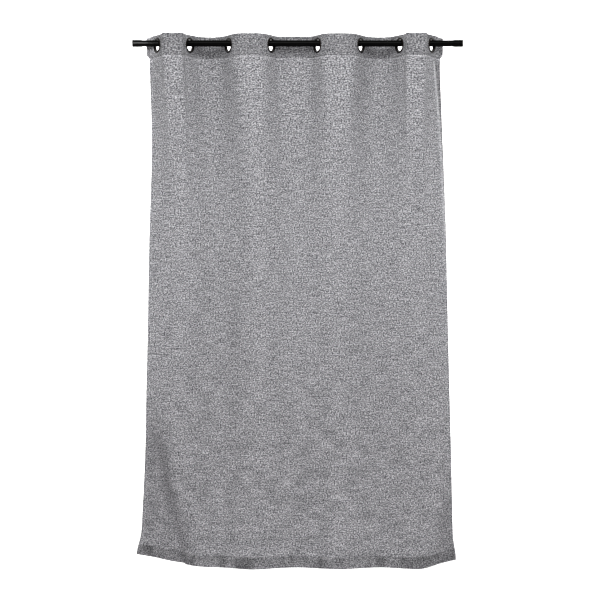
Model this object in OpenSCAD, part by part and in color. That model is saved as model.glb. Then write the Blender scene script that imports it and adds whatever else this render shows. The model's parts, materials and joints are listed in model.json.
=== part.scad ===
// Eyelet curtain panel threaded on a short round rod.
// +Z is up, -Y is the front (room side), and the rod lies along X.
// The origin is on the rod's axis, at the outer end of the left end cap.

/* [Rod] */
// Diameter of the rod tube
rod_d = 22; // [18:0.5:22.5]
// Wall thickness of the rod tube
rod_wall = 1.2; // [0.8:0.1:2.5]
// Overall length of the rod with its end caps
rod_length = 1116; // [1080:1:1400]
// Wall thickness of the push-on end caps
cap_wall = 1.2; // [0.8:0.1:2]
// Length of the end cap's sleeve
cap_length = 32; // [15:1:35]

/* [Panel] */
// Finished drop of the panel, from its top edge to the bottom hem
panel_drop = 1800; // [1200:10:2600]
// Distance along the cloth from one eyelet to the next
eyelet_interval = 185; // [180:1:190]
// Distance along the cloth from an outer eyelet to the side edge
side_margin = 52.5; // [48:0.5:60]
// Thickness of one layer of cloth
cloth_t = 1.6; // [0.8:0.1:2]
// Height of the folded heading
header_h = 75; // [70:1:100]
// Height of the bottom hem
hem_h = 42; // [20:1:80]
// Width of the side hems
side_hem_w = 12; // [8:0.5:18]
// Thickness of the heading's stiffener
stiffener_t = 0.8; // [0.4:0.1:1.2]

/* [Eyelets] */
// Clear diameter of an eyelet's hole
eyelet_id = 38; // [37.5:0.5:40]
// Outer diameter of an eyelet's flange
eyelet_od = 52; // [50.5:0.5:56]
// Thickness of an eyelet's front flange
flange_t = 2.6; // [1.5:0.1:3]
// Thickness of an eyelet's back ring
back_ring_t = 2.2; // [1.5:0.1:3]
// Distance of the eyelet centres below the panel's top edge
eyelet_depth = 35.2; // [33:0.1:45]
// How far the eyelet centres hang below the rod's axis
eyelet_drop = 6.7; // [5:0.1:7]

/* [Pleats] */
// Angle between the rod and the cloth at each eyelet
pleat_yaw = 60; // [58:1:64]
// Length of flat cloth on each side of an eyelet's centre
flat_run = 29; // [28.5:0.5:30]
// Smallest radius of a fold's crest
crest_r_min = 20; // [18:1:22]
// How far each fold's hinge line lies inside its crest
hinge_inset = 8; // [7:0.5:10]
// Gap between neighbouring lengths of cloth at a crest
crest_gap = 0.8; // [0.6:0.1:1]

/* [Hidden] */
// Positions of the eyelets along the rod, from the rod's middle
EYELET_X = [-472.5, -365.3, -231.9, -90.7, 68.1, 212, 345.4, 450.9];
COUNT = len(EYELET_X);

rod_r = rod_d / 2;
cap_r = rod_r + cap_wall;
mid_x = rod_length / 2;
hole_r = eyelet_id / 2;
barrel_r = hole_r + 1;
cloth_hole_r = barrel_r + 0.4;
eyelet_z = -eyelet_drop;
top_z = eyelet_z + eyelet_depth;
bottom_z = top_z - panel_drop;
header_z = top_z - header_h;
arc_steps = 6;
round_fn = 72;
shade = [0.6, 0.6, 0.62];
black = [0.05, 0.05, 0.05];

// Layers of the heading, as distances in front of the cloth's middle line
inner_face = stiffener_t / 2;
cloth_face = inner_face + cloth_t;
hem_face = inner_face - cloth_t;
back_face = -inner_face - cloth_t;

// Distance along the cloth from an eyelet to a crest
half_path = eyelet_interval / 2;
yaw_rad = pleat_yaw * PI / 180;

// Which way pleat i runs behind its right-hand fold: -1 forward, +1 backward
function lean(i) = i % 2 == 0 ? -1 : 1;

// Half the chord of fold k, between eyelets k and k + 1
function half_chord(k) = (EYELET_X[k + 1] - EYELET_X[k] - crest_gap) / 2;

// Radius of the crest when the cloth runs straight up to it
function sharp_r(c) = (c / cos(pleat_yaw) - half_path) / (tan(pleat_yaw) - yaw_rad);

// Radius of the crest when the straight run has its shortest length
function soft_r(c) = max(crest_r_min,
    (half_path - c - flat_run * (1 - cos(pleat_yaw))) / (yaw_rad - sin(pleat_yaw)));

// Straight run that meets a crest of radius r over the half chord c
function run_to(c, r) = (c - r * sin(pleat_yaw)) / cos(pleat_yaw);

function crest_r(c) = run_to(c, sharp_r(c)) > flat_run ? sharp_r(c) : soft_r(c);
function run(c) = run_to(c, sharp_r(c)) > flat_run ? run_to(c, sharp_r(c)) : flat_run;
function crest_y(c) = run(c) * sin(pleat_yaw) + crest_r(c) * (1 - cos(pleat_yaw));

// Half a fold from an eyelet to the crest, as [x, y, slope in degrees]
function half_fold(c) = let(r = crest_r(c), t = run(c))
    concat([[0, 0, pleat_yaw]], arc_points(t, r, 0),
        [[c, crest_y(c), 0]]);

// Arc of radius r after a straight run t, from the pleat's slope down to the slope stop
function arc_points(t, r, stop) = [
    for (n = [0 : arc_steps])
        let(a = pleat_yaw + (stop - pleat_yaw) * n / arc_steps)
        [t * cos(pleat_yaw) + r * (sin(pleat_yaw) - sin(a)),
         t * sin(pleat_yaw) + r * (cos(a) - cos(pleat_yaw)), a]
];

// Free margin beyond an outer eyelet, curling towards the rod's direction
margin_turn = 50;
margin_r = (side_margin - flat_run) / (margin_turn * PI / 180);
function margin_end() = concat([[0, 0, pleat_yaw]],
    arc_points(flat_run, margin_r, pleat_yaw - margin_turn));

// Drops points that repeat the one before them
function distinct(p) = [
    for (n = [0 : len(p) - 1])
        if (n == 0 || norm([p[n][0] - p[max(n - 1, 0)][0], p[n][1] - p[max(n - 1, 0)][1]]) > 0.2) p[n]
];

function right_half(i) = distinct(i == COUNT - 1 ? margin_end() : half_fold(half_chord(i)));
function left_half(i) = distinct(i == 0 ? margin_end() : half_fold(half_chord(i - 1)));

// Middle line of pleat i from left to right, as [x, y, dx, dy] with the unit direction
function pleat_line(i) = let(f = lean(i), l = left_half(i), r = right_half(i))
    concat(
        [for (n = [len(l) - 1 : -1 : 1]) [-l[n][0], -f * l[n][1], cos(l[n][2]), f * sin(l[n][2])]],
        [for (n = [1 : len(r) - 1]) [r[n][0], f * r[n][1], cos(r[n][2]), f * sin(r[n][2])]]
    );

// The line moved d towards the front of the cloth
function shifted(line, d) = [for (p = line) [p[0] + d * p[3], p[1] - d * p[2]]];
function reversed(v) = [for (n = [len(v) - 1 : -1 : 0]) v[n]];

// A length of cloth between two faces and two heights, about its own eyelet
module ribbon(line, back, front, low, high) {
    translate([0, 0, low])
        linear_extrude(high - low)
            polygon(concat(shifted(line, front), reversed(shifted(line, back))));
}

// Moves a shape built about an eyelet's column to pleat i
module at_pleat(i) {
    translate([mid_x + EYELET_X[i], 0, 0]) children();
}

// Turns a shape built along +Z to point out of the front of pleat i's eyelet
module face_front(i) {
    translate([0, 0, eyelet_z])
        rotate([0, 0, lean(i) * pleat_yaw])
            rotate([90, 0, 0]) children();
}

// The round hole that an eyelet's barrel passes through
module eyelet_hole(i) {
    face_front(i) cylinder(h = 20, r = cloth_hole_r, center = true, $fn = round_fn);
}

module curtain_rod() {
    color(black)
        translate([cap_wall, 0, 0])
            rotate([0, 90, 0])
                difference() {
                    cylinder(h = rod_length - 2 * cap_wall, r = rod_r, $fn = round_fn);
                    translate([0, 0, -1])
                        cylinder(h = rod_length + 2, r = rod_r - rod_wall, $fn = round_fn);
                }
}

// A push-on cap with its closed end at z = 0
module end_cap() {
    difference() {
        cylinder(h = cap_length, r = cap_r, $fn = round_fn);
        translate([0, 0, cap_wall])
            cylinder(h = cap_length, r = rod_r, $fn = round_fn);
    }
}

module rod_end_cap_left() {
    color(black) rotate([0, 90, 0]) end_cap();
}

module rod_end_cap_right() {
    color(black) translate([rod_length, 0, 0]) rotate([0, -90, 0]) end_cap();
}

module cloth(i) {
    color(shade)
        at_pleat(i)
            difference() {
                ribbon(pleat_line(i), inner_face, cloth_face, bottom_z, top_z);
                eyelet_hole(i);
            }
}

module header_band(i) {
    color(shade * 0.9)
        at_pleat(i)
            difference() {
                ribbon(pleat_line(i), back_face, -inner_face, header_z, top_z);
                eyelet_hole(i);
            }
}

module stiffener(i) {
    color("white")
        at_pleat(i)
            difference() {
                ribbon(pleat_line(i), -inner_face, inner_face, header_z, top_z);
                eyelet_hole(i);
            }
}

module bottom_hem(i) {
    color(shade * 0.85)
        at_pleat(i) ribbon(pleat_line(i), hem_face, inner_face, bottom_z, bottom_z + hem_h);
}

// The last stretch of an outer pleat's free margin, n points long
module side_hem(i) {
    line = pleat_line(i);
    edge_points = 4;
    strip = i == 0
        ? [for (n = [0 : edge_points - 1]) line[n]]
        : [for (n = [len(line) - edge_points : len(line) - 1]) line[n]];
    color(shade * 0.85)
        at_pleat(i) ribbon(strip, hem_face, inner_face, bottom_z + hem_h, header_z);
}

module side_hem_left() { side_hem(0); }
module side_hem_right() { side_hem(COUNT - 1); }

// Front half of an eyelet: a domed flange with the barrel behind it
module eyelet_front(i) {
    flange_r = eyelet_od / 2;
    barrel_back = back_face - back_ring_t;
    color(black)
        at_pleat(i) face_front(i)
            rotate_extrude($fn = round_fn)
                polygon([
                    [hole_r, barrel_back], [barrel_r, barrel_back], [barrel_r, cloth_face],
                    [flange_r, cloth_face], [flange_r, cloth_face + flange_t * 0.35],
                    [flange_r - 1.2, cloth_face + flange_t * 0.8],
                    [flange_r - 3, cloth_face + flange_t],
                    [hole_r + 2.4, cloth_face + flange_t],
                    [hole_r + 0.8, cloth_face + flange_t * 0.7],
                    [hole_r, cloth_face + flange_t * 0.2]
                ]);
}

// Back half of an eyelet: the flanged washer pressed over the barrel
module eyelet_back(i) {
    flange_r = eyelet_od / 2;
    press_gap = 0.05;
    color(black)
        at_pleat(i) face_front(i)
            rotate_extrude($fn = round_fn)
                polygon([
                    [barrel_r + press_gap, back_face], [flange_r, back_face],
                    [flange_r, back_face - back_ring_t * 0.4],
                    [flange_r - 1.6, back_face - back_ring_t],
                    [barrel_r + press_gap, back_face - back_ring_t]
                ]);
}

curtain_rod();
rod_end_cap_left();
rod_end_cap_right();
cloth(0);  // cloth_1
cloth(1);  // cloth_2
cloth(2);  // cloth_3
cloth(3);  // cloth_4
cloth(4);  // cloth_5
cloth(5);  // cloth_6
cloth(6);  // cloth_7
cloth(7);  // cloth_8
header_band(0);  // header_band_1
header_band(1);  // header_band_2
header_band(2);  // header_band_3
header_band(3);  // header_band_4
header_band(4);  // header_band_5
header_band(5);  // header_band_6
header_band(6);  // header_band_7
header_band(7);  // header_band_8
stiffener(0);  // stiffener_1
stiffener(1);  // stiffener_2
stiffener(2);  // stiffener_3
stiffener(3);  // stiffener_4
stiffener(4);  // stiffener_5
stiffener(5);  // stiffener_6
stiffener(6);  // stiffener_7
stiffener(7);  // stiffener_8
bottom_hem(0);  // bottom_hem_1
bottom_hem(1);  // bottom_hem_2
bottom_hem(2);  // bottom_hem_3
bottom_hem(3);  // bottom_hem_4
bottom_hem(4);  // bottom_hem_5
bottom_hem(5);  // bottom_hem_6
bottom_hem(6);  // bottom_hem_7
bottom_hem(7);  // bottom_hem_8
side_hem_left();
side_hem_right();
eyelet_front(0);  // eyelet_front_1
eyelet_front(1);  // eyelet_front_2
eyelet_front(2);  // eyelet_front_3
eyelet_front(3);  // eyelet_front_4
eyelet_front(4);  // eyelet_front_5
eyelet_front(5);  // eyelet_front_6
eyelet_front(6);  // eyelet_front_7
eyelet_front(7);  // eyelet_front_8
eyelet_back(0);  // eyelet_back_1
eyelet_back(1);  // eyelet_back_2
eyelet_back(2);  // eyelet_back_3
eyelet_back(3);  // eyelet_back_4
eyelet_back(4);  // eyelet_back_5
eyelet_back(5);  // eyelet_back_6
eyelet_back(6);  // eyelet_back_7
eyelet_back(7);  // eyelet_back_8
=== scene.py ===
import json
import math
import random

import bpy
import numpy as np
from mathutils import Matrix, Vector


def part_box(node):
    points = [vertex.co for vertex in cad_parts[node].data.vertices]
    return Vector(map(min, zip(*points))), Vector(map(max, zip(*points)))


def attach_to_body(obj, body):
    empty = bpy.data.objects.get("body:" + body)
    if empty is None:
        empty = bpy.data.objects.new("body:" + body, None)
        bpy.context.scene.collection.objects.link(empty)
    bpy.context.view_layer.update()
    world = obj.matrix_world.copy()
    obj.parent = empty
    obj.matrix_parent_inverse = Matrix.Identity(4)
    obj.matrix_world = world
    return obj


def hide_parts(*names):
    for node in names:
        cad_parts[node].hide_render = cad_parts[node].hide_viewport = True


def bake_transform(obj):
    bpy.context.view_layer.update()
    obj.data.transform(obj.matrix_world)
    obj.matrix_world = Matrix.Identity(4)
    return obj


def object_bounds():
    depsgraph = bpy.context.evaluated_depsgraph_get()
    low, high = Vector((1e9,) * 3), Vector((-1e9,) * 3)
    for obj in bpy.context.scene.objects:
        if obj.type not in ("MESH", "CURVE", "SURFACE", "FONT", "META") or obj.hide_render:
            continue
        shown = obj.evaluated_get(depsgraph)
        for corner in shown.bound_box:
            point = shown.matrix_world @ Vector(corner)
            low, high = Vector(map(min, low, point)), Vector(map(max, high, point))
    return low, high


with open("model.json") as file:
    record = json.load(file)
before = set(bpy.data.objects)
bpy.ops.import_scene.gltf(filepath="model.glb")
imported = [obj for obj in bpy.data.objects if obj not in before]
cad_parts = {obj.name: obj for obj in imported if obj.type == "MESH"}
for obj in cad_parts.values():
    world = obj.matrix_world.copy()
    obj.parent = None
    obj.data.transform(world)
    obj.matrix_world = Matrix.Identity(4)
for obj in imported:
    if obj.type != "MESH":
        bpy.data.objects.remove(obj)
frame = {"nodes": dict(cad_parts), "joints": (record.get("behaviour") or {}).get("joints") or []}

cad_low, cad_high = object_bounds()

# ---------------------------------------------------------------- sizes, in metres
MM = 0.001
PLEAT_YAW = math.radians(60)      # angle between rod and cloth at an eyelet
FLAT_RUN = 29 * MM                # flat cloth on each side of an eyelet's centre
HINGE_INSET = 8 * MM              # how far a fold's hinge lies inside its crest
SIDE_MARGIN = 52.5 * MM           # outer eyelet to side edge, along the cloth
MARGIN_TURN = math.radians(50)    # how far the free margin curls
HEADER_H = 75 * MM
HEM_H = 42 * MM
SIDE_HEM_W = 12 * MM
SEAM_ALLOWANCE = 3 * MM           # cloth beyond a hem's stitch line
LAYER_GAP = 1.4 * MM              # a layer's middle from the middle of the heading
CLOTH_T = 0.9 * MM
HOLE_CUT_R = 22.5 * MM            # the cut hole, hidden under the eyelet's flanges

PLEATS = 8
joints = {j["name"]: j for j in frame["joints"]}
hinges = [joints[f"fold_{k}"]["pos_m"] for k in range(1, PLEATS)]
eyelet_x = [joints["draw"]["pos_m"][0]]
for hinge in hinges:
    eyelet_x.append(2 * hinge[0] - eyelet_x[-1])

cloth_low, cloth_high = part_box("cloth_1")
ring_low, ring_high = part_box("eyelet_front_1")
rod_low, rod_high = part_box("curtain_rod")
TOP_Z = cloth_high.z
DROP = cloth_high.z - cloth_low.z
EYELET_V = TOP_Z - (ring_low.z + ring_high.z) / 2
ROD_MID_X = (rod_low.x + rod_high.x) / 2
ROD_Z = (rod_low.z + rod_high.z) / 2


# ---------------------------------------------------------------- camera and light
CAMERA_AWAY = 6.3
CAMERA_BELOW_ROD = 0.866
CAMERA_ASIDE = 8 * MM
LENS = 112


def add_camera():
    data = bpy.data.cameras.new("camera")
    camera = bpy.data.objects.new("camera", data)
    bpy.context.scene.collection.objects.link(camera)
    camera.location = (ROD_MID_X + CAMERA_ASIDE, -CAMERA_AWAY, ROD_Z - CAMERA_BELOW_ROD)
    camera.rotation_euler = (math.radians(90), 0, 0)
    data.sensor_width = 36
    data.lens = LENS
    data.clip_end = 60
    bpy.context.scene.camera = camera


def add_light(name, kind, location, target, energy):
    """A light at location that shines towards target; returns its settings."""
    data = bpy.data.lights.new(name, kind)
    data.energy = energy
    light = bpy.data.objects.new(name, data)
    bpy.context.scene.collection.objects.link(light)
    light.location = location
    aim = Vector(target) - Vector(location)
    light.rotation_euler = aim.to_track_quat("-Z", "Y").to_euler()
    return data


def add_area(name, location, target, size, energy):
    data = add_light(name, "AREA", location, target, energy)
    data.shape = "RECTANGLE"
    data.size, data.size_y = size


def add_rod_glint():
    """A narrow spot that puts a highlight on the left end of the rod."""
    data = add_light("rod_glint", "SPOT", (-0.075, -1.1, 0.17), (0.018, 0, 0), 170)
    data.spot_size = math.radians(6)
    data.spot_blend = 0.6
    data.shadow_soft_size = 0.04


def add_lights():
    world = bpy.data.worlds.new("studio")
    bpy.context.scene.world = world
    world.use_nodes = True
    background = world.node_tree.nodes["Background"]
    background.inputs["Color"].default_value = (1, 1, 1, 1)
    background.inputs["Strength"].default_value = 1.035
    add_area("key_front", (ROD_MID_X + 0.1, -3.5, 1.8), (ROD_MID_X, 0, -0.25), (1.5, 1.3), 108)
    add_area("backdrop_light", (ROD_MID_X, 5.4, 3.0), (ROD_MID_X, 8.0, -1.2), (5, 1), 420)
    add_rod_glint()


# ---------------------------------------------------------------- plan of the folds at the heading
def smooth(t):
    """0 up to t = 0, 1 from t = 1 on, and an even curve between them."""
    t = np.clip(t, 0, 1)
    return t * t * (3 - 2 * t)


def bell(t):
    """1 at t = 0, falling away evenly on both sides."""
    return np.exp(-t**2)


FINE = 0.05 * MM                  # step along the cloth when a fold's line is added up
CORNER_R = 13 * MM                # corners of a fold with a broad front
STEEPEN = 7 * MM                  # length over which such a fold turns steeper
STEEP = math.radians(84)
HALVINGS = 40                     # steps in the search for such a fold's steep stretch


class Fold:
    """Half of one fold at the heading, from the eyelet to the middle of the crest."""

    def __init__(self, k):
        self.half = (eyelet_x[k + 1] - eyelet_x[k]) / 2
        self.depth = abs(hinges[k][1]) + HINGE_INSET
        self.lean = math.copysign(1, hinges[k][1])
        sine, cosine = math.sin(PLEAT_YAW), math.cos(PLEAT_YAW)
        radius = (self.half * sine / cosine - self.depth) * cosine / (1 - cosine)
        run = (self.half - radius * sine) / cosine
        if run < FLAT_RUN:
            run = FLAT_RUN
            radius = (self.depth - run * sine) / (1 - cosine)
        level = self.half - run * cosine - radius * sine
        self.path = run + radius * PLEAT_YAW + max(level, 0)
        self.s = np.arange(0, self.path + FINE, FINE)
        if run > 2 * FLAT_RUN:
            self.x, self.y = self.broad_line()
        else:
            self.x, self.y = straight_then_arc(self.s, run, radius, PLEAT_YAW)

    def broad_line(self):
        """A crowded fold: it turns steeper past the eyelet and has a broad, level crest.

        The length of its steep stretch is searched for, so that the line ends in the fold's middle.
        """
        short, long = 0, self.path
        for _ in range(HALVINGS):
            hold = (short + long) / 2
            stops = np.cumsum([FLAT_RUN, STEEPEN, hold, CORNER_R * STEEP])
            slope = np.interp(self.s, stops, [PLEAT_YAW, STEEP, STEEP, 0])
            x = np.cumsum(np.cos(slope)) * FINE
            if x[-1] > self.half:
                short = hold
            else:
                long = hold
        return x - x[0], np.cumsum(np.sin(slope)) * FINE

    def at(self, s):
        """Place at the distance s along the cloth from the eyelet."""
        return np.interp(s, self.s, self.x), np.interp(s, self.s, self.y)


def straight_then_arc(s, run, radius, turn):
    """Places along a line that leaves the eyelet straight, bends by turn, and goes on straight."""
    bend = np.clip((s - run) / radius, 0, turn)
    after = np.maximum(s - run - radius * turn, 0)
    slope = PLEAT_YAW - bend
    before = np.minimum(s, run)
    x = before * math.cos(PLEAT_YAW) + radius * (math.sin(PLEAT_YAW) - np.sin(slope))
    y = before * math.sin(PLEAT_YAW) + radius * (np.cos(slope) - math.cos(PLEAT_YAW))
    last = PLEAT_YAW - turn
    return x + after * math.cos(last), y + after * math.sin(last)


folds = [Fold(k) for k in range(PLEATS - 1)]
margin_radius = (SIDE_MARGIN - FLAT_RUN) / MARGIN_TURN
eyelet_u = [SIDE_MARGIN]
for fold in folds:
    eyelet_u.append(eyelet_u[-1] + 2 * fold.path)
WIDTH = eyelet_u[-1] + SIDE_MARGIN


def heading_plan(u):
    """Where the cloth at distance u from its left edge passes the rod, as x and y."""
    x, y = np.zeros_like(u), np.zeros_like(u)
    left, right = u <= eyelet_u[0], u >= eyelet_u[-1]
    dx, dy = straight_then_arc(eyelet_u[0] - u[left], FLAT_RUN, margin_radius, MARGIN_TURN)
    x[left], y[left] = eyelet_x[0] - dx, dy
    dx, dy = straight_then_arc(u[right] - eyelet_u[-1], FLAT_RUN, margin_radius, MARGIN_TURN)
    x[right], y[right] = eyelet_x[-1] + dx, dy
    for k, fold in enumerate(folds):
        inside = (u >= eyelet_u[k]) & (u <= eyelet_u[k + 1])
        s = u[inside] - eyelet_u[k]
        near = np.minimum(s, 2 * fold.path - s)
        dx, dy = fold.at(near)
        x[inside] = np.where(s < fold.path, eyelet_x[k] + dx, eyelet_x[k + 1] - dx)
        y[inside] = fold.lean * dy
    return x, y


# ---------------------------------------------------------------- how the cloth falls below the heading
FLATTEN_OVER = 0.62               # drop over which the deep folds of the heading flatten out
FLATTEN_POWER = 0.55
LOW_DEPTH = 25 * MM               # depth of the wide folds far below the rod
LOW_FORWARD = 8 * MM
LOW_LEFT = 500 * MM               # side edges there, from the rod's middle
LOW_RIGHT = 488 * MM
LEFT_FLARE = 36 * MM              # how much further out they hang at the hem
RIGHT_FLARE = 40 * MM
MARGIN_PHASE = 0.28               # a free margin, as a part of a fold

dice = random.Random(12)
low_strength = [0.15] + [dice.uniform(0.75, 1.2) for _ in range(PLEATS - 1)] + [0.3]
ripples = [
    (dice.uniform(2.0, 9.0), dice.uniform(-1.6, 1.6), dice.uniform(0, 2 * math.pi), dice.uniform(0.3, 1))
    for _ in range(9)
]
puckers = [
    (dice.uniform(28, 75), dice.uniform(0, 2 * math.pi), dice.uniform(0.4, 1))
    for _ in range(8)
]


def low_plan(u, v):
    """The same cloth far below the rod, where the folds are wide and shallow."""
    share = np.clip(v / DROP, 0, 1)
    left = ROD_MID_X - LOW_LEFT - LEFT_FLARE * share**3
    right = ROD_MID_X + LOW_RIGHT + RIGHT_FLARE * share**1.2
    x = left + (right - left) * u / WIDTH
    knots = [0, *eyelet_u, WIDTH]
    phase = np.interp(u, knots, [1 - MARGIN_PHASE, *range(1, PLEATS + 1), PLEATS + MARGIN_PHASE])
    strength = np.interp(phase, np.arange(PLEATS + 1) + 0.5, low_strength)
    y = LOW_DEPTH * strength * np.sin(math.pi * phase) - LOW_FORWARD
    return x, y


def ripple(u, v):
    """Slow unevenness of slack cloth, about -1 to 1."""
    total = np.zeros_like(u)
    for across, down, phase, strength in ripples:
        total += strength * np.sin(2 * math.pi * (across * u + down * v) + phase)
    return total / 3


def pucker(u):
    """Small gathers along a seam, about -1 to 1."""
    total = np.zeros_like(u)
    for across, phase, strength in puckers:
        total += strength * np.sin(2 * math.pi * across * u + phase)
    return total / 3


# Lower corners that lie back past a slanting line: where the line starts on the side edge,
# how far along the bottom edge it ends, how far the cloth steps back there, and its slope beyond
LEFT_CORNER = (1.17, 0.225, 40 * MM, 0.05)
RIGHT_CORNER = (1.38, 0.09, 16 * MM, 0.10)
CORNER_FADE = 0.3                 # drop over which such a line gets under way
STEP_WIDTH = 11 * MM


def beyond_line(edge, v, corner):
    """Distance past a corner's slanting line, and how far the line has got under way."""
    start, foot, _, _ = corner
    length = math.hypot(foot, DROP - start)
    return ((v - start) * foot - edge * (DROP - start)) / length, smooth((v - start) / CORNER_FADE)


def turned_corner(edge, v, corner):
    """How far a lower corner lies back, edge being the distance from the side edge."""
    _, _, step, slope = corner
    beyond, started = beyond_line(edge, v, corner)
    return started * step / (1 + np.exp(-beyond / STEP_WIDTH)) + slope * np.maximum(beyond, 0)


RIDGE_HEIGHT = 2.4 * MM
RIDGE_WIDTH = 5 * MM
RIDGE_TURN = 0.9                  # slope of the cloth between the ridge and the side edge


def right_ridge(edge, v):
    """The ridge from the last eyelet out to the side hem: its fade and the distance past it."""
    place = 6 * MM + 25 * MM * np.exp(-(v - 0.115) / 0.16)
    fade = smooth((v - HEADER_H) / 0.03) * (1 - smooth((v - 0.55) / 0.35))
    return fade, place - edge


def painted_highlight(u, v):
    """Painted highlight, up to 1: lighter lines where the ridge, the left edge and the cloth below the
    heading catch the light.
    """
    fade, past = right_ridge(WIDTH - u, v)
    ridge = fade * (1 - 0.6 * smooth((v - 0.15) / 0.35)) * bell(past / (5.5 * MM))
    below_heading = 0.35 * bell((v - HEADER_H - 2.5 * MM) / (1.8 * MM))
    left_edge = 0.6 * smooth((v - 0.45) / 0.2) * (1 - smooth((v - 1.0) / 0.2)) * bell(u / (3 * MM))
    return np.maximum(np.maximum(ridge, below_heading), left_edge)


def painted_shade(u, v):
    """Painted shade, up to 1: past the ridge, in the turned corners and beside the heading."""
    fade, past = right_ridge(WIDTH - u, v)
    turned_strip = fade * smooth((past - 4 * MM) / (6 * MM))
    beyond, started = beyond_line(u, v, LEFT_CORNER)
    left_corner = started * (0.66 * bell(beyond / (32 * MM)) + 0.38 * smooth(beyond / 0.04 + 0.5))
    beyond, started = beyond_line(WIDTH - u, v, RIGHT_CORNER)
    right_corner = 0.62 * started * smooth(beyond / 0.05 + 0.5)
    heading_edge = 0.75 * (1 - smooth((u - 0.016) / 0.02)) * smooth((v - 0.015) / 0.02)
    heading_edge = heading_edge * (1 - smooth((v - HEADER_H) / 0.012))
    return np.minimum(turned_strip + left_corner + right_corner + heading_edge, 1)


SWAY = 9 * MM                     # how far the left edge hangs in, some way below the heading
LEFT_FOOT_OUT = 12 * MM           # how far the ends of the hem stand out
RIGHT_FOOT_OUT = 9 * MM
FOOT_H = 0.09
FOOT_W = 0.08
HEADING_OUT = 9 * MM              # how far the stiff heading stands out past the cloth below it
HEADING_OUT_W = 0.045


def sideways(u, v):
    """How far the cloth is moved to the right from the plan of its folds."""
    foot = smooth((v - DROP + FOOT_H) / FOOT_H)
    stiff = 1 - smooth((v - HEADER_H + 0.012) / 0.014)
    moved = SWAY * bell((v - 0.36) / 0.24) * np.exp(-u / 0.09)
    moved = moved - LEFT_FOOT_OUT * foot * smooth(1 - u / FOOT_W)
    moved = moved + RIGHT_FOOT_OUT * foot * smooth(1 - (WIDTH - u) / FOOT_W)
    spread = smooth(1 - (WIDTH - u) / HEADING_OUT_W) - smooth(1 - u / HEADING_OUT_W)
    return moved + HEADING_OUT * stiff * spread


HEM_BACK = 7 * MM                 # how far the foot of the cloth lies back
HEM_BACK_H = 0.06
SLACK = 1.1 * MM                  # height of the slow unevenness
GATHER = 0.55 * MM                # height of the gathers along the two seams


def backwards(u, v):
    """How far the cloth lies back from the plan of its folds."""
    moved = turned_corner(u, v, LEFT_CORNER) + turned_corner(WIDTH - u, v, RIGHT_CORNER)
    fade, past = right_ridge(WIDTH - u, v)
    moved = moved - fade * RIDGE_HEIGHT * bell(past / RIDGE_WIDTH)
    moved = moved + fade * RIDGE_TURN * np.maximum(past, 0)
    moved = moved + HEM_BACK * smooth((v - DROP + HEM_BACK_H) / HEM_BACK_H)
    moved = moved + SLACK * smooth((v - HEADER_H) / 0.25) * ripple(u, v)
    hem_seam = np.exp(-np.abs(v - DROP + HEM_H) / 0.018)
    heading_seam = np.exp(-np.abs(v - HEADER_H - 0.006) / 0.02)
    seams = (hem_seam + 0.5 * heading_seam) * smooth((v - HEADER_H) / 0.006)
    return moved + GATHER * pucker(u) * seams


LIFT_FROM = 1.25                  # drop from which the lower corners are lifted
LEFT_LIFT = 37 * MM
LEFT_LIFT_W = 0.31
RIGHT_LIFT = 25 * MM
RIGHT_LIFT_W = 0.16
TUCK_LIFT = 3.5 * MM              # a small tuck shortens the hem from its left end up to TUCK_U
TUCK_U = 0.2
TUCK_H = 0.05
CORNER_SAG = 6 * MM               # how far the heading's outer corners hang down


def upwards(u, v):
    """How far the cloth is lifted at its lower corners, less the sag of its upper ones."""
    low = smooth((v - LIFT_FROM) / (DROP - LIFT_FROM))
    moved = LEFT_LIFT * low * np.clip(1 - u / LEFT_LIFT_W, 0, 1) ** 1.05
    moved = moved + RIGHT_LIFT * low * np.clip(1 - (WIDTH - u) / RIGHT_LIFT_W, 0, 1) ** 1.15
    moved = moved + TUCK_LIFT * smooth((v - DROP + TUCK_H) / TUCK_H) * (1 - smooth((u - TUCK_U) / 0.009))
    return moved - CORNER_SAG * (1 - smooth(v / 0.06)) * smooth(1 - np.minimum(u, WIDTH - u) / 0.03)


def sheet_point(u, v):
    """A point of the hanging cloth, u from its left edge and v below its top edge."""
    top_x, top_y = heading_plan(u)
    low_x, low_y = low_plan(u, v)
    ease = smooth((v - HEADER_H * 0.9) / FLATTEN_OVER) ** FLATTEN_POWER
    x = top_x + (low_x - top_x) * ease + sideways(u, v)
    y = top_y + (low_y - top_y) * ease + backwards(u, v)
    z = TOP_Z - v + upwards(u, v)
    return np.stack([x, y, z], -1)


def front_normal(point, a, b):
    """Unit normal towards the front, of the surface point(a, b) with a rightwards and b downwards."""
    step = 0.15 * MM
    along = point(a + step, b) - point(a - step, b)
    down = point(a, b + step) - point(a, b - step)
    n = np.cross(down, along)
    return n / np.maximum(np.linalg.norm(n, axis=-1, keepdims=True), 1e-12)


TOP_GAP = 2 * LAYER_GAP           # front layer to back layer, at the heading
LOW_GAP = 1.5 * LAYER_GAP         # the same at the bottom hem
SIDE_GAP = 1.3 * LAYER_GAP        # the same at the side hems
PINCH = 0.75 * MM                 # how far a row of stitches pulls the layers together


def turn_over(past, gap):
    """For cloth that goes past a folded edge: its distance in from the edge, and how far it lies back."""
    angle = np.clip(2 * past / gap, -1, 1) * math.pi / 2
    inset = np.maximum(np.abs(past) - gap / 2, 0) + gap / 2 * (1 - np.cos(angle))
    return inset, gap * (1 + np.sin(angle)) / 2


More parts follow.
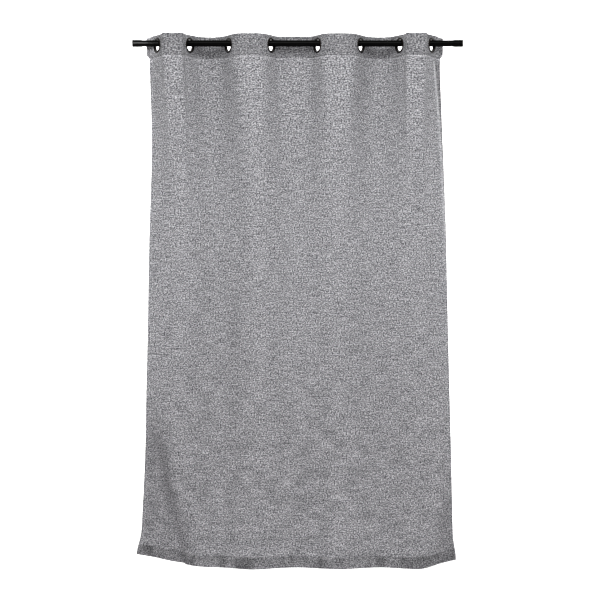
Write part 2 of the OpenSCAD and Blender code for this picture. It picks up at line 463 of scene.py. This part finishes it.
def layer_middle(p, m):
    """Middle of the cloth with its turned-over edges: p runs across the cloth and m runs down it."""
    top, top_back = turn_over(-m, TOP_GAP)
    foot, foot_back = turn_over(m - DROP, LOW_GAP)
    left, left_back = turn_over(-p, SIDE_GAP)
    right, right_back = turn_over(p - WIDTH, SIDE_GAP)
    v = np.where(m < DROP / 2, top, DROP - foot)
    u = np.where(p < WIDTH / 2, left, WIDTH - right)
    edge = np.minimum(u, WIDTH - u)
    pinch = np.maximum(bell((v - HEADER_H) / (2.2 * MM)), bell((v - DROP + HEM_H) / (2.2 * MM)))
    pinch = np.maximum(pinch, bell((edge - SIDE_HEM_W) / (1.8 * MM)))
    back = top_back + foot_back + left_back + right_back
    inward = PINCH * pinch * np.where(back < LAYER_GAP, 1, -1)
    depth = LAYER_GAP - back - inward
    return sheet_point(u, v) + front_normal(sheet_point, u, v) * depth[..., None]


# ---------------------------------------------------------------- meshes
def lines(*stretches):
    """Grid lines over stretches of (start, end, spacing), joined end to end."""
    found = [stretches[0][0]]
    for start, end, spacing in stretches:
        count = max(1, round((end - start) / spacing))
        found += [start + (end - start) * (n + 1) / count for n in range(count)]
    return np.array(found)


def new_mesh(name, points, faces, normals, material, flat=None):
    """A smooth mesh; flat holds each point's place on the flat cloth and its painted highlight (above 0) or
    painted shade (below 0) there.
    """
    mesh = bpy.data.meshes.new(name)
    mesh.from_pydata(points.tolist(), [], faces)
    mesh.polygons.foreach_set("use_smooth", [True] * len(mesh.polygons))
    if flat is not None:
        attribute = mesh.attributes.new("flat", "FLOAT_VECTOR", "POINT")
        attribute.data.foreach_set("vector", flat.astype(np.float32).ravel())
    if normals is not None:
        mesh.normals_split_custom_set_from_vertices(normals.tolist())
    mesh.materials.append(material)
    made = bpy.data.objects.new(name, mesh)
    bpy.context.scene.collection.objects.link(made)
    return made


def sheet_mesh(name, middle, p_lines, m_lines, thickness, material):
    """A thin closed sheet around the surface middle(p, m), with the eyelets' holes cut in it."""
    p, m = np.meshgrid(p_lines, m_lines, indexing="ij")
    columns, rows = p.shape
    index = np.arange(columns * rows).reshape(columns, rows)
    corners = np.stack([index[:-1, :-1], index[:-1, 1:], index[1:, 1:], index[1:, :-1]], -1).reshape(-1, 4)
    p, m = p.ravel(), m.ravel()
    centre_p, centre_m = p[corners].mean(1), m[corners].mean(1)
    kept = np.ones(len(corners), bool)
    for u in eyelet_u:
        for v in (EYELET_V, -EYELET_V):
            kept &= np.hypot(centre_p - u, centre_m - v) > HOLE_CUT_R
    cut = np.unique(corners[~kept])
    corners = corners[kept]
    rim_points = np.intersect1d(cut, np.unique(corners))
    for u in eyelet_u:
        for v in (EYELET_V, -EYELET_V):
            dp, dm = p[rim_points] - u, m[rim_points] - v
            reach = np.hypot(dp, dm)
            near = reach < 2 * HOLE_CUT_R
            p[rim_points[near]] = u + dp[near] * HOLE_CUT_R / reach[near]
            m[rim_points[near]] = v + dm[near] * HOLE_CUT_R / reach[near]
    used, compact = np.unique(corners, return_inverse=True)
    corners = compact.reshape(-1, 4)
    p, m = p[used], m[used]
    points, normals = middle(p, m), front_normal(middle, p, m)
    count = len(points)
    edges = np.concatenate([corners[:, [n, (n + 1) % 4]] for n in range(4)])
    keys = np.sort(edges, 1)
    _, place, uses = np.unique(keys, axis=0, return_index=True, return_counts=True)
    border = edges[place[uses == 1]]
    rim = np.stack([border[:, 1], border[:, 0], border[:, 0] + count, border[:, 1] + count], -1)
    faces = corners.tolist() + (corners[:, ::-1] + count).tolist() + rim.tolist()
    both = np.concatenate([points + normals * thickness / 2, points - normals * thickness / 2])
    v = np.clip(m, 0, DROP)
    # Painted highlight minus painted shade, only on the cloth between its top and bottom edges.
    painted_light_and_shade = np.where((m > 0) & (m < DROP), painted_highlight(p, v) - painted_shade(p, v), 0)
    flat = np.stack([p, m, painted_light_and_shade], -1)
    both_normals, both_flat = np.concatenate([normals, -normals]), np.concatenate([flat, flat])
    return new_mesh(name, both, faces, both_normals, material, both_flat)


STITCH_PITCH = 3.2 * MM
STITCH_LENGTH = 2.5 * MM
THREAD_R = 0.27 * MM
SECTIONS = 4                      # rings along one stitch
SIDES = 6                         # corners of a ring


def stitch_row(starts, ends, count):
    """Points and faces of stitches that are evenly spread from starts to ends, each a (p, m) pair."""
    starts, ends = np.array(starts), np.array(ends)
    way = (ends - starts) / np.linalg.norm(ends - starts)
    places = starts + (ends - starts) * ((np.arange(count) + 0.5) / count)[:, None]
    along = np.linspace(-0.5, 0.5, SECTIONS) * STITCH_LENGTH
    pm = places[:, None, :] + along[None, :, None] * way
    middle = layer_middle(pm[..., 0], pm[..., 1])
    normal = front_normal(layer_middle, pm[..., 0], pm[..., 1])
    forward = middle[:, -1:] - middle[:, :1]
    side = np.cross(normal, forward)
    side /= np.linalg.norm(side, axis=-1, keepdims=True)
    bow = 1 - (2 * np.abs(along) / STITCH_LENGTH) ** 2
    lift = CLOTH_T / 2 + THREAD_R * (1.1 * bow - 0.55)
    thick = THREAD_R * (0.55 + 0.45 * bow)
    angle = np.arange(SIDES) * 2 * math.pi / SIDES
    ring = (np.cos(angle)[None, None, :, None] * side[:, :, None, :]
            + np.sin(angle)[None, None, :, None] * normal[:, :, None, :])
    points = (middle + normal * lift[None, :, None])[:, :, None, :] + ring * thick[None, :, None, None]
    bases = range(0, count * SECTIONS * SIDES, SECTIONS * SIDES)
    quads = []
    for n in range(SECTIONS - 1):
        for k in range(SIDES):
            after = (k + 1) % SIDES
            quads.append([n * SIDES + k, n * SIDES + after, (n + 1) * SIDES + after, (n + 1) * SIDES + k])
    caps = [list(range(SIDES))[::-1], [(SECTIONS - 1) * SIDES + k for k in range(SIDES)]]
    faces = [[base + c for c in face] for base in bases for face in quads + caps]
    return points.reshape(-1, 3), faces


def stitching(name, rows, material):
    """All the rows of stitches of one strip as one mesh."""
    points, faces = [], []
    for starts, ends in rows:
        count = round(math.dist(starts, ends) / STITCH_PITCH)
        row_points, row_faces = stitch_row(starts, ends, count)
        offset = sum(len(x) for x in points)
        points.append(row_points)
        faces += [[c + offset for c in face] for face in row_faces]
    return new_mesh(name, np.concatenate(points), faces, None, material)


# ---------------------------------------------------------------- materials
def nodes_of(name):
    """A new material with its node tree and its shader."""
    material = bpy.data.materials.new(name)
    material.use_nodes = True
    tree = material.node_tree
    return material, tree, tree.nodes["Principled BSDF"]


def math_node(tree, operation, a, b=None, c=None):
    """Result of a Math node, each input of which is a number or a socket."""
    node = tree.nodes.new("ShaderNodeMath")
    node.operation = operation
    for socket, value in zip(node.inputs, (a, b, c)):
        if value is None:
            continue
        if isinstance(value, (int, float)):
            socket.default_value = value
        else:
            tree.links.new(value, socket)
    return node.outputs[0]


def noise_node(tree, vector, stretch, scale, detail, rough=0.5):
    """Noise over vector, with stretch times scale features per metre on each axis; 0 ignores the axis."""
    mapping = tree.nodes.new("ShaderNodeMapping")
    mapping.inputs["Scale"].default_value = stretch
    tree.links.new(vector, mapping.inputs["Vector"])
    noise = tree.nodes.new("ShaderNodeTexNoise")
    noise.inputs["Scale"].default_value = scale
    noise.inputs["Detail"].default_value = detail
    noise.inputs["Roughness"].default_value = rough
    tree.links.new(mapping.outputs[0], noise.inputs["Vector"])
    return noise.outputs["Fac"]


def colour_ramp(tree, factor, stops):
    ramp = tree.nodes.new("ShaderNodeValToRGB")
    elements = ramp.color_ramp.elements
    while len(elements) < len(stops):
        elements.new(0.5)
    for element, (place, colour) in zip(elements, stops):
        element.position = place
        element.color = (*colour, 1)
    tree.links.new(factor, ramp.inputs[0])
    return ramp.outputs[0]


def mix_colour(tree, blend, factor, a, b):
    node = tree.nodes.new("ShaderNodeMix")
    node.data_type = "RGBA"
    node.blend_type = blend
    for socket, value in ((node.inputs[0], factor), (node.inputs[6], a), (node.inputs[7], b)):
        if isinstance(value, (int, float)):
            socket.default_value = value
        elif isinstance(value, tuple):
            socket.default_value = (*value, 1)
        else:
            tree.links.new(value, socket)
    return node.outputs[2]


def soft_above(tree, down, wander, edge, softness, unevenness):
    """1 above the height given by edge on the flat cloth and 0 below it, with an uneven border."""
    shifted = math_node(tree, "MULTIPLY_ADD", wander, unevenness, down)
    node = tree.nodes.new("ShaderNodeMapRange")
    node.interpolation_type = "SMOOTHSTEP"
    node.inputs["From Min"].default_value = edge + unevenness / 2 - softness
    node.inputs["From Max"].default_value = edge + unevenness / 2 + softness
    node.inputs["To Min"].default_value = 1
    node.inputs["To Max"].default_value = 0
    tree.links.new(shifted, node.inputs["Value"])
    return node.outputs[0]


THREAD_PITCH = 1.3 * MM
CREASE_SHADE_FROM = 0.75               # drop from which painted shade of small soft creases darkens the cloth in patches, and the further drop over which this painted shade reaches its full strength
CREASE_SHADE_OVER = 0.7                # and the further drop over which they reach their full strength
HEADING_SHADE = 0.715             # painted shade on the doubled heading, which lets less light through than the single cloth
# painted shade on the doubled hem, deepest along its gathers
HEM_SHADE = 0.735


def melange(tree, flat):
    """Lightness and colour of light and dark fibres spun together in both directions of the weave."""
    flecks = noise_node(tree, flat, (165, 325, 0), 1.0, 2.0, 0.65)
    slubs = noise_node(tree, flat, (16, 330, 0), 1.0, 2.0)
    warp_slubs = noise_node(tree, flat, (640, 60, 0), 1.0, 1.5)
    yarn = noise_node(tree, flat, (1500, 1700, 0), 1.0, 1.0)
    tone = math_node(tree, "MULTIPLY_ADD", slubs, 0.24, flecks)
    tone = math_node(tree, "MULTIPLY_ADD", warp_slubs, 0.25, tone)
    tone = math_node(tree, "MULTIPLY_ADD", yarn, 0.25, tone)
    tone = math_node(tree, "ADD", tone, 0.146)
    tone = math_node(tree, "MULTIPLY", tone, 0.5)
    colour = colour_ramp(tree, tone, [
        (0.420, (0.016, 0.016, 0.018)),
        (0.468, (0.072, 0.072, 0.079)),
        (0.500, (0.157, 0.156, 0.168)),
        (0.532, (0.286, 0.284, 0.299)),
        (0.584, (0.600, 0.596, 0.612)),
    ])
    return tone, colour


def unevenness(tree, flat, down, colour):
    """The colour with broad faint patches and, in the lower part, with painted shade of soft creases."""
    patches = noise_node(tree, flat, (1, 0.5, 0), 3.0, 2.0)
    colour = mix_colour(tree, "MULTIPLY", 1.0, colour, colour_ramp(tree, patches, [
        (0.3, (0.95, 0.95, 0.95)), (0.7, (1, 1, 1))]))
    crease_shade = noise_node(tree, flat, (13, 22, 0), 1.0, 3.0, 0.6)
    lower = math_node(tree, "MULTIPLY_ADD", down, 1 / CREASE_SHADE_OVER, -CREASE_SHADE_FROM / CREASE_SHADE_OVER)
    lower = math_node(tree, "MINIMUM", math_node(tree, "MAXIMUM", lower, 0.0), 1.0)
    # Painted shade of small soft creases, multiplied in over the lower part.
    return mix_colour(tree, "MULTIPLY", lower, colour, colour_ramp(tree, crease_shade, [
        (0.36, (0.76, 0.757, 0.757)), (0.62, (1, 0.99, 0.99))]))


def weave_height(tree, across, down):
    """Height of a plain weave, one thread over and one thread under."""
    turn = math.pi / THREAD_PITCH
    warp = math_node(tree, "SINE", math_node(tree, "MULTIPLY", across, turn))
    weft = math_node(tree, "SINE", math_node(tree, "MULTIPLY", down, turn))
    return math_node(tree, "ABSOLUTE", math_node(tree, "MULTIPLY", warp, weft))


def cloth_material():
    """A melange plain weave in grey, with painted shade where a turned-over edge makes it double, in
    creases and in corners, and painted highlights along a ridge and edges.
    """
    material, tree, shader = nodes_of("grey_melange_weave")
    attribute = tree.nodes.new("ShaderNodeAttribute")
    attribute.attribute_name = "flat"
    flat = attribute.outputs["Vector"]
    split = tree.nodes.new("ShaderNodeSeparateXYZ")
    tree.links.new(flat, split.inputs[0])
    across, down, painted_light_and_shade = split.outputs

    tone, colour = melange(tree, flat)
    colour = unevenness(tree, flat, down, colour)
    wander = noise_node(tree, flat, (14, 3, 0), 1.0, 2.0)
    in_heading = soft_above(tree, down, wander, HEADER_H, 1.5 * MM, 2 * MM)
    in_body = soft_above(tree, down, wander, DROP - HEM_H, 5 * MM, 14 * MM)
    # Painted shade in the hem: multiplied darker, and darker still in patches along its gathers.
    gathers = noise_node(tree, flat, (24, 7, 0), 1.0, 2.0)
    hem_painted_shade = colour_ramp(tree, gathers, [
        (0.40, (HEM_SHADE * 0.68,) * 3), (0.55, (HEM_SHADE * 1.06,) * 3)])
    # Painted shade: the heading multiplied darker.
    colour = mix_colour(tree, "MULTIPLY", in_heading, colour, (HEADING_SHADE,) * 3)
    in_hem = math_node(tree, "SUBTRACT", 1.0, in_body)
    colour = mix_colour(tree, "MULTIPLY", in_hem, colour, hem_painted_shade)
    # Painted highlight: the colour mixed towards light grey, broken up by noise.
    painted_highlight_amount = math_node(tree, "MULTIPLY", math_node(tree, "MAXIMUM", painted_light_and_shade, 0.0), wander)
    colour = mix_colour(tree, "MIX", painted_highlight_amount, colour, (0.62, 0.62, 0.64))
    # Painted shade: the colour multiplied darker.
    painted_shade_amount = math_node(tree, "MAXIMUM", math_node(tree, "MULTIPLY", painted_light_and_shade, -1.0), 0.0)
    colour = mix_colour(tree, "MULTIPLY", painted_shade_amount, colour, (0.62, 0.612, 0.62))
    tree.links.new(colour, shader.inputs["Base Color"])

    height = math_node(tree, "MULTIPLY_ADD", tone, 1.2, weave_height(tree, across, down))
    bump = tree.nodes.new("ShaderNodeBump")
    bump.inputs["Strength"].default_value = 0.55
    bump.inputs["Distance"].default_value = 0.25 * MM
    tree.links.new(height, bump.inputs["Height"])
    tree.links.new(bump.outputs[0], shader.inputs["Normal"])
    shader.inputs["Roughness"].default_value = 0.93
    shader.inputs["Specular IOR Level"].default_value = 0.2
    shader.inputs["Sheen Weight"].default_value = 0.04
    shader.inputs["Sheen Roughness"].default_value = 0.6
    return material


def thread_material():
    material, tree, shader = nodes_of("sewing_thread")
    place = tree.nodes.new("ShaderNodeTexCoord").outputs["Object"]
    twist = noise_node(tree, place, (900, 900, 900), 1.0, 2.0)
    tree.links.new(colour_ramp(tree, twist, [
        (0.3, (0.30, 0.30, 0.32)), (0.7, (0.58, 0.58, 0.60))]), shader.inputs["Base Color"])
    shader.inputs["Roughness"].default_value = 0.7
    shader.inputs["Sheen Weight"].default_value = 0.2
    return material


def stiffener_material():
    material, tree, shader = nodes_of("bonded_interfacing")
    attribute = tree.nodes.new("ShaderNodeAttribute")
    attribute.attribute_name = "flat"
    fibres = noise_node(tree, attribute.outputs["Vector"], (900, 700, 0), 1.0, 4.0)
    tree.links.new(colour_ramp(tree, fibres, [
        (0.3, (0.62, 0.62, 0.59)), (0.7, (0.84, 0.84, 0.81))]), shader.inputs["Base Color"])
    shader.inputs["Roughness"].default_value = 0.85
    return material


def metal_material(name, dark, light, metallic, rough_low, rough_high, specular, grain):
    """Smooth dark metal or paint with faint handling marks and slight unevenness."""
    material, tree, shader = nodes_of(name)
    place = tree.nodes.new("ShaderNodeTexCoord").outputs["Object"]
    marks = noise_node(tree, place, grain, 1.0, 3.0, 0.6)
    tree.links.new(colour_ramp(tree, marks, [(0.35, dark), (0.7, light)]), shader.inputs["Base Color"])
    rough = tree.nodes.new("ShaderNodeMapRange")
    rough.inputs["To Min"].default_value = rough_low
    rough.inputs["To Max"].default_value = rough_high
    tree.links.new(marks, rough.inputs["Value"])
    tree.links.new(rough.outputs[0], shader.inputs["Roughness"])
    bump = tree.nodes.new("ShaderNodeBump")
    bump.inputs["Strength"].default_value = 0.12
    bump.inputs["Distance"].default_value = 0.05 * MM
    tree.links.new(marks, bump.inputs["Height"])
    tree.links.new(bump.outputs[0], shader.inputs["Normal"])
    shader.inputs["Metallic"].default_value = metallic
    shader.inputs["Specular IOR Level"].default_value = specular
    return material


# ---------------------------------------------------------------- the panel
cloth = cloth_material()
thread = thread_material()
interfacing = stiffener_material()

BACK_EDGE = HEADER_H + SEAM_ALLOWANCE
FOOT_EDGE = DROP + HEM_H + SEAM_ALLOWANCE
NEAR_EYELET = 30 * MM
EDGE = 3 * MM                     # cloth on each side of a folded edge that bends round it
EDGE_STEP = 0.5 * MM              # grid spacing round such an edge, at the eyelets, near them and elsewhere
EYELET_STEP = 2.6 * MM
NEAR_STEP = 4 * MM
OPEN_STEP = 10 * MM
SEAM_SIDE = 8 * MM                # finer grid on each side of a seam
m_lines = lines(
    (-BACK_EDGE, -EDGE, EYELET_STEP),
    (-EDGE, EDGE, EDGE_STEP),
    (EDGE, HEADER_H - SEAM_SIDE, EYELET_STEP),
    (HEADER_H - SEAM_SIDE, HEADER_H + SEAM_SIDE, 1 * MM),
    (HEADER_H + SEAM_SIDE, 0.14, NEAR_STEP),
    (0.14, DROP - 0.11, OPEN_STEP),
    (DROP - 0.11, DROP - HEM_H - SEAM_SIDE, NEAR_STEP),
    (DROP - HEM_H - SEAM_SIDE, DROP - HEM_H + SEAM_SIDE, 1.2 * MM),
    (DROP - HEM_H + SEAM_SIDE, DROP - EDGE, NEAR_STEP),
    (DROP - EDGE, DROP + EDGE, EDGE_STEP),
    (DROP + EDGE, FOOT_EDGE, NEAR_STEP),
)
stiff_lines = lines((3.5 * MM, HEADER_H - 4 * MM, EYELET_STEP))


def strip_lines(k):
    """Grid lines across strip k: 0 and PLEATS are the free margins, the others are whole folds."""
    if k == 0:
        hem = SIDE_HEM_W + SEAM_ALLOWANCE
        return lines((-hem, -EDGE, 2.5 * MM), (-EDGE, EDGE, EDGE_STEP), (EDGE, hem + EDGE, 1.2 * MM),
                     (hem + EDGE, eyelet_u[0], EYELET_STEP))
    if k == PLEATS:
        return WIDTH - strip_lines(0)[::-1]
    start, end = eyelet_u[k - 1], eyelet_u[k]
    return lines((start, start + NEAR_EYELET, EYELET_STEP),
                 (start + NEAR_EYELET, end - NEAR_EYELET, 5.5 * MM),
                 (end - NEAR_EYELET, end, EYELET_STEP))


def attach(piece, k):
    """Strip k runs from eyelet k to the next one; the free margins go with the first and the last pleat,
    and the other strips stay where they are made.
    """
    if k == 0:
        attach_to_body(piece, "pleat_1")
    elif k == PLEATS:
        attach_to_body(piece, f"pleat_{PLEATS}")
    else:
        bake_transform(piece)


def seam_rows(k, p_low, p_high):
    """Where the rows of stitches of strip k start and end, on the front layer and on the back layer."""
    rows = [((p_low, m), (p_high, m)) for m in (HEADER_H, -HEADER_H, DROP - HEM_H, DROP + HEM_H)]
    if k == 0:
        rows += [((p, HEADER_H), (p, DROP - HEM_H)) for p in (SIDE_HEM_W, -SIDE_HEM_W)]
    if k == PLEATS:
        rows += [((WIDTH - p, HEADER_H), (WIDTH - p, DROP - HEM_H)) for p in (SIDE_HEM_W, -SIDE_HEM_W)]
    return rows


CORE_T = 0.5 * MM
TINY = 1e-6


def build_strip(k):
    """Cloth, heading core and stitches of strip k; returns the cloth and its stitches."""
    across = strip_lines(k)
    panel = sheet_mesh(f"panel_cloth_{k}", layer_middle, across, m_lines, CLOTH_T, cloth)
    inner = across[(across > SIDE_HEM_W - TINY) & (across < WIDTH - SIDE_HEM_W + TINY)]
    core = sheet_mesh(f"heading_core_{k}", sheet_point, inner, stiff_lines, CORE_T, interfacing)
    low, high = max(across[0], 1 * MM), min(across[-1], WIDTH - 1 * MM)
    sewn = stitching(f"seam_stitches_{k}", seam_rows(k, low, high), thread)
    for piece in (panel, core, sewn):
        attach(piece, k)
    if k > 0:
        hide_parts(f"cloth_{k}", f"header_band_{k}", f"bottom_hem_{k}")
        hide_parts(f"stiffener_{k}")
    if k == 0:
        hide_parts("side_hem_left")
    if k == PLEATS:
        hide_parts("side_hem_right")
    return panel, sewn


def flat_size(across, down):
    return (float(across[-1] - across[0]), float(down[-1] - down[0]))


for k in range(PLEATS + 1):
    panel, sewn = build_strip(k)
    flat_size(strip_lines(k), m_lines)

# ---------------------------------------------------------------- rod and eyelets
rod_paint = metal_material("gloss_black_paint", (0.0006, 0.0006, 0.0006), (0.0015, 0.0015, 0.0015),
                           0.0, 0.16, 0.24, 0.018, (14, 160, 160))
nickel = metal_material("black_nickel", (0.008, 0.007, 0.006), (0.026, 0.021, 0.017),
                        1.0, 0.16, 0.30, 0.5, (220, 220, 220))
for name, node in frame["nodes"].items():
    if name.startswith("eyelet"):
        chosen = nickel
    elif "rod" in name:
        chosen = rod_paint
    else:
        continue
    node.data.materials.clear()
    node.data.materials.append(chosen)
    node.data.polygons.foreach_set("use_smooth", [True] * len(node.data.polygons))

# ---------------------------------------------------------------- floor and backdrop
FLOOR_Z = cad_low.z - 0.4
STAGE_HALF = 9                    # from the rod's middle to each side, and to the front
SWEEP_R = 1.6                     # the floor curves up into the backdrop
SWEEP_Y = 6.4
SWEEP_STEPS = 24
BACKDROP_H = 8


def add_stage():
    """One pale sheet: the floor, a round sweep behind the curtain, and the backdrop."""
    profile = [(-STAGE_HALF, 0), (SWEEP_Y, 0)]
    for n in range(1, SWEEP_STEPS + 1):
        turn = n / SWEEP_STEPS * math.pi / 2
        profile.append((SWEEP_Y + SWEEP_R * math.sin(turn), SWEEP_R * (1 - math.cos(turn))))
    profile.append((SWEEP_Y + SWEEP_R, BACKDROP_H))
    points = [(ROD_MID_X + side * STAGE_HALF, y, FLOOR_Z + z) for y, z in profile for side in (-1, 1)]
    faces = [(2 * n, 2 * n + 1, 2 * n + 3, 2 * n + 2) for n in range(len(profile) - 1)]
    paint, tree, shader = nodes_of("pale_floor")
    place = tree.nodes.new("ShaderNodeTexCoord").outputs["Object"]
    mottle = noise_node(tree, place, (1, 1, 1), 1.5, 3.0)
    tree.links.new(colour_ramp(tree, mottle, [
        (0.3, (0.93, 0.93, 0.93)), (0.7, (0.95, 0.95, 0.95))]), shader.inputs["Base Color"])
    shader.inputs["Roughness"].default_value = 0.9
    shader.inputs["Specular IOR Level"].default_value = 0.1
    floor = new_mesh("floor", np.array(points, float), faces, None, paint)


add_stage()
add_camera()
add_lights()
bpy.context.scene.view_settings.view_transform = "Standard"
